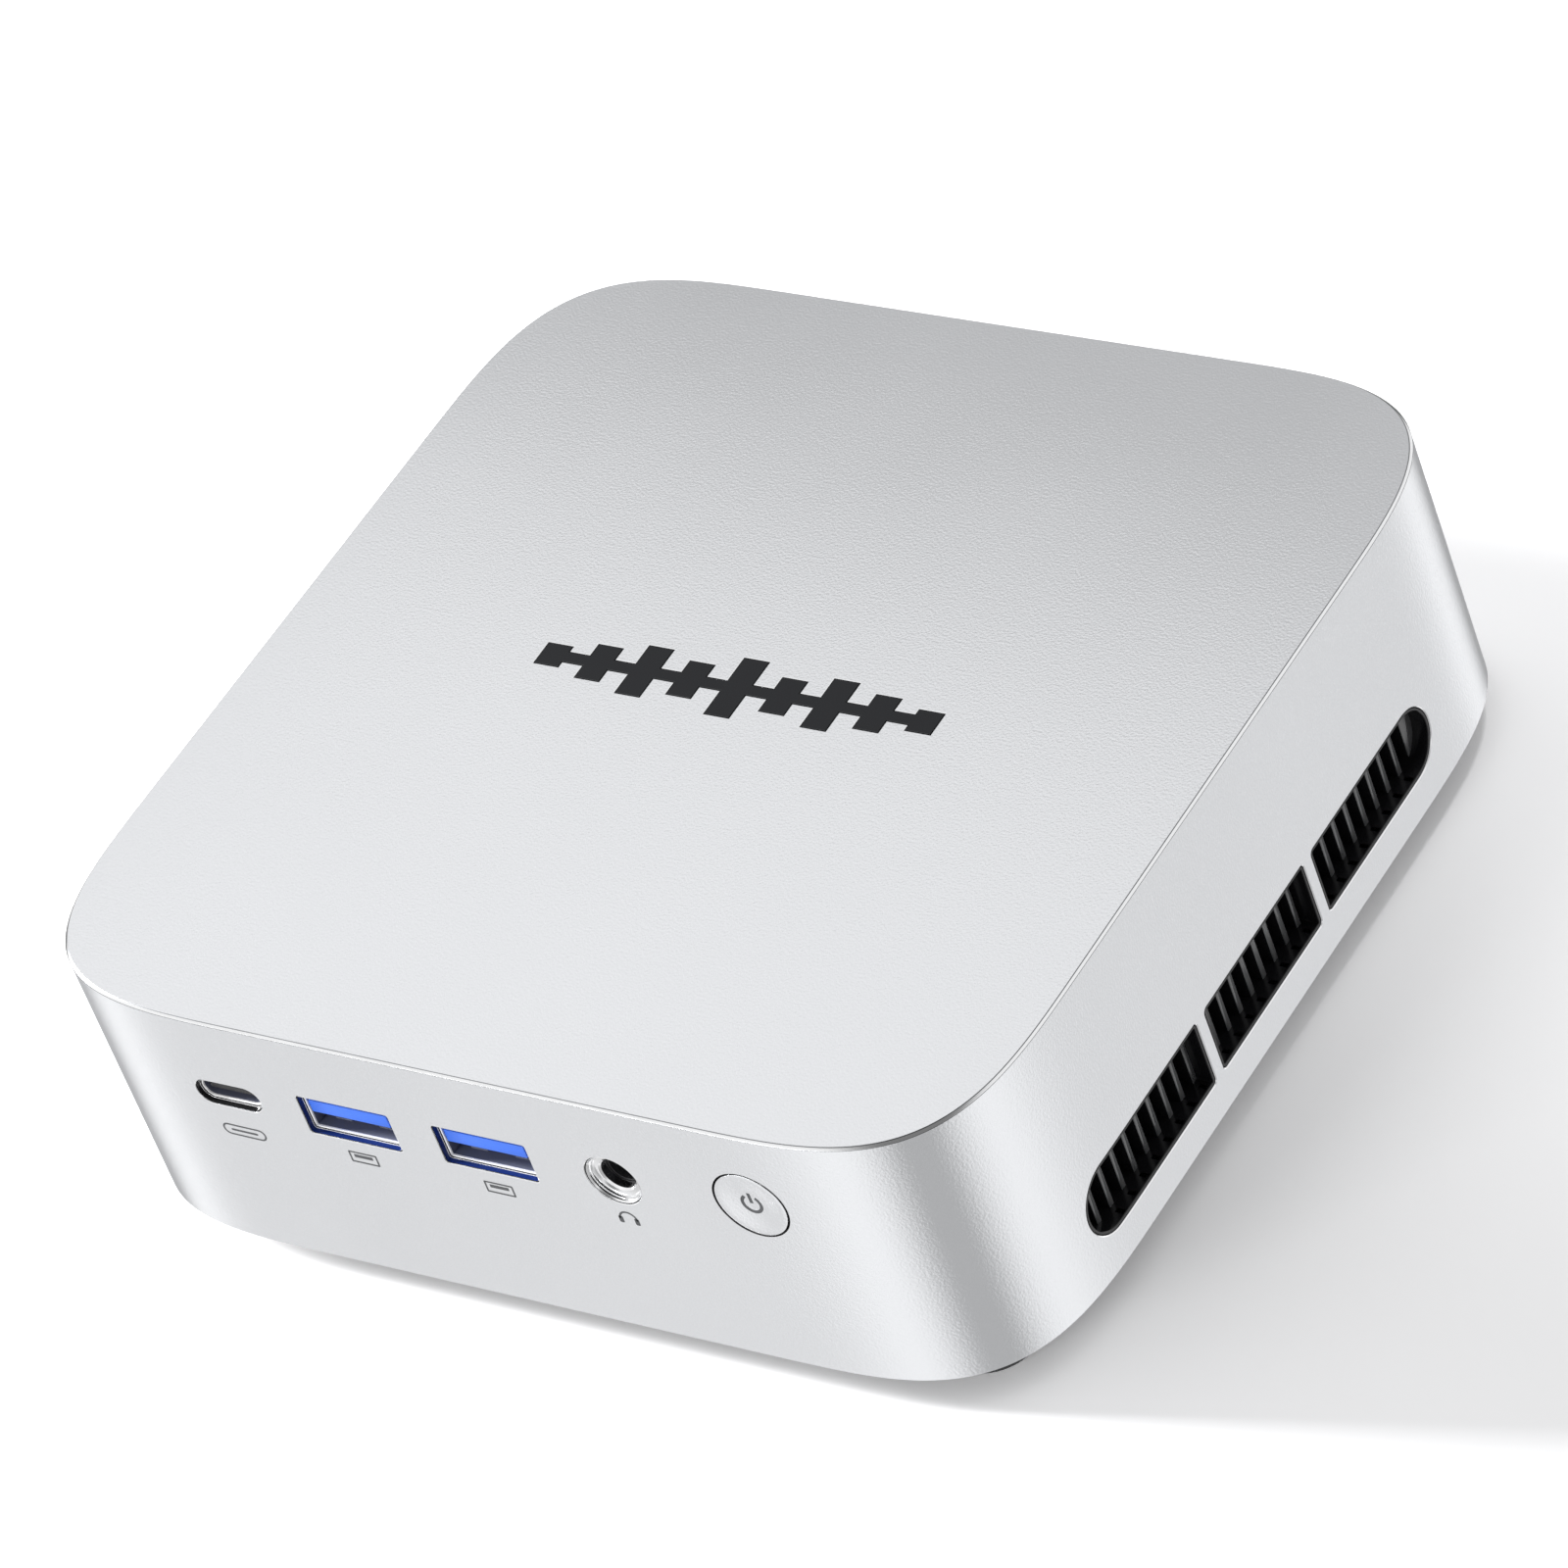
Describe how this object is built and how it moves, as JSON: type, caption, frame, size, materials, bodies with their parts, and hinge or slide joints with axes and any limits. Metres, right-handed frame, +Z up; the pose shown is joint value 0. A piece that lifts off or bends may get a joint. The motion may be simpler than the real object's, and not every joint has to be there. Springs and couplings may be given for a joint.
{
  "type": "mini desktop computer",
  "caption": "Small square desktop computer with a silver metal shell, front and rear ports, side vents, a power button that presses in and a cooling fan that spins inside.",
  "frame": {"origin": "on the table, under the middle of the case", "axes": "+X to the right seen from the front, +Y towards the rear ports, +Z up through the top face"},
  "size_m": [0.128, 0.128, 0.041],
  "materials": {
    "shell": "bead-blasted and anodised silver",
    "badge": "dark charcoal inlay",
    "button": "fine satin silver",
    "black_plastic": "moulded black",
    "vent_plastic": "glossy black",
    "rubber": "matt black",
    "chrome": "bright nickel plating",
    "steel": "plain steel",
    "blue_plastic": "royal blue connector plastic",
    "brass": "gold-plated",
    "circuit_board": "green solder mask",
    "copper": "plain copper",
    "aluminium": "mill-finish sheet",
    "chip": "dark package"
  },
  "bodies": {
    "case": {"audio_jack_body": "black_plastic", "audio_jack_ring": "chrome", "board_screw_front_left": "steel", "board_screw_front_right": "steel", "board_screw_rear_left": "steel", "board_screw_rear_right": "steel", "bottom_cover": "black_plastic", "case_screw_front_left": "steel", "case_screw_front_right": "steel", "case_screw_rear_left": "steel", "case_screw_rear_right": "steel", "clock_battery": "steel", "cold_plate": "copper", "ethernet_contacts": "brass", "ethernet_shell": "chrome", "fan_cover": "steel", "fan_housing": "black_plastic", "fin_stack": "aluminium", "foot_front_left": "rubber", "foot_front_right": "rubber", "foot_rear_left": "rubber", "foot_rear_right": "rubber", "hdmi_left_shell": "chrome", "hdmi_left_tongue": "black_plastic", "hdmi_right_shell": "chrome", "hdmi_right_tongue": "black_plastic", "heat_pipe_left": "copper", "heat_pipe_right": "copper", "memory_module": "circuit_board", "memory_socket": "black_plastic", "motherboard": "circuit_board", "power_button_guide": "black_plastic", "power_inlet_body": "black_plastic", "power_inlet_pin": "brass", "power_switch_body": "black_plastic", "processor": "chip", "rear_grille": "vent_plastic", "side_grille_left": "vent_plastic", "side_grille_right": "vent_plastic", "ssd_module": "circuit_board", "ssd_screw": "steel", "ssd_socket": "black_plastic", "top_badge": "badge", "top_shell": "shell", "usb_a_front_left_shell": "chrome", "usb_a_front_left_tongue": "blue_plastic", "usb_a_front_right_shell": "chrome", "usb_a_front_right_tongue": "blue_plastic", "usb_a_rear_left_shell": "chrome", "usb_a_rear_left_tongue": "blue_plastic", "usb_a_rear_right_shell": "chrome", "usb_a_rear_right_tongue": "blue_plastic", "usb_c_shell": "chrome", "usb_c_tongue": "black_plastic", "vesa_insert_left": "brass", "vesa_insert_right": "brass", "wifi_card": "circuit_board"},
    "button": {"power_button": "button", "power_switch_plunger": "black_plastic"},
    "fan": {"fan_rotor": "black_plastic"}
  },
  "joints": [
    {"name": "power_button_press", "type": "slide", "parent": "case", "child": "button", "axis": [0, 1, 0], "range_m": [0, 0.0005], "stiffness_N_per_m": 2500, "springref_m": -0.0003},
    {"name": "fan_spin", "type": "hinge", "parent": "case", "child": "fan", "pos_m": [0, 0.016, 0.012], "axis": [0, 0, 1], "continuous": true}
  ]
}
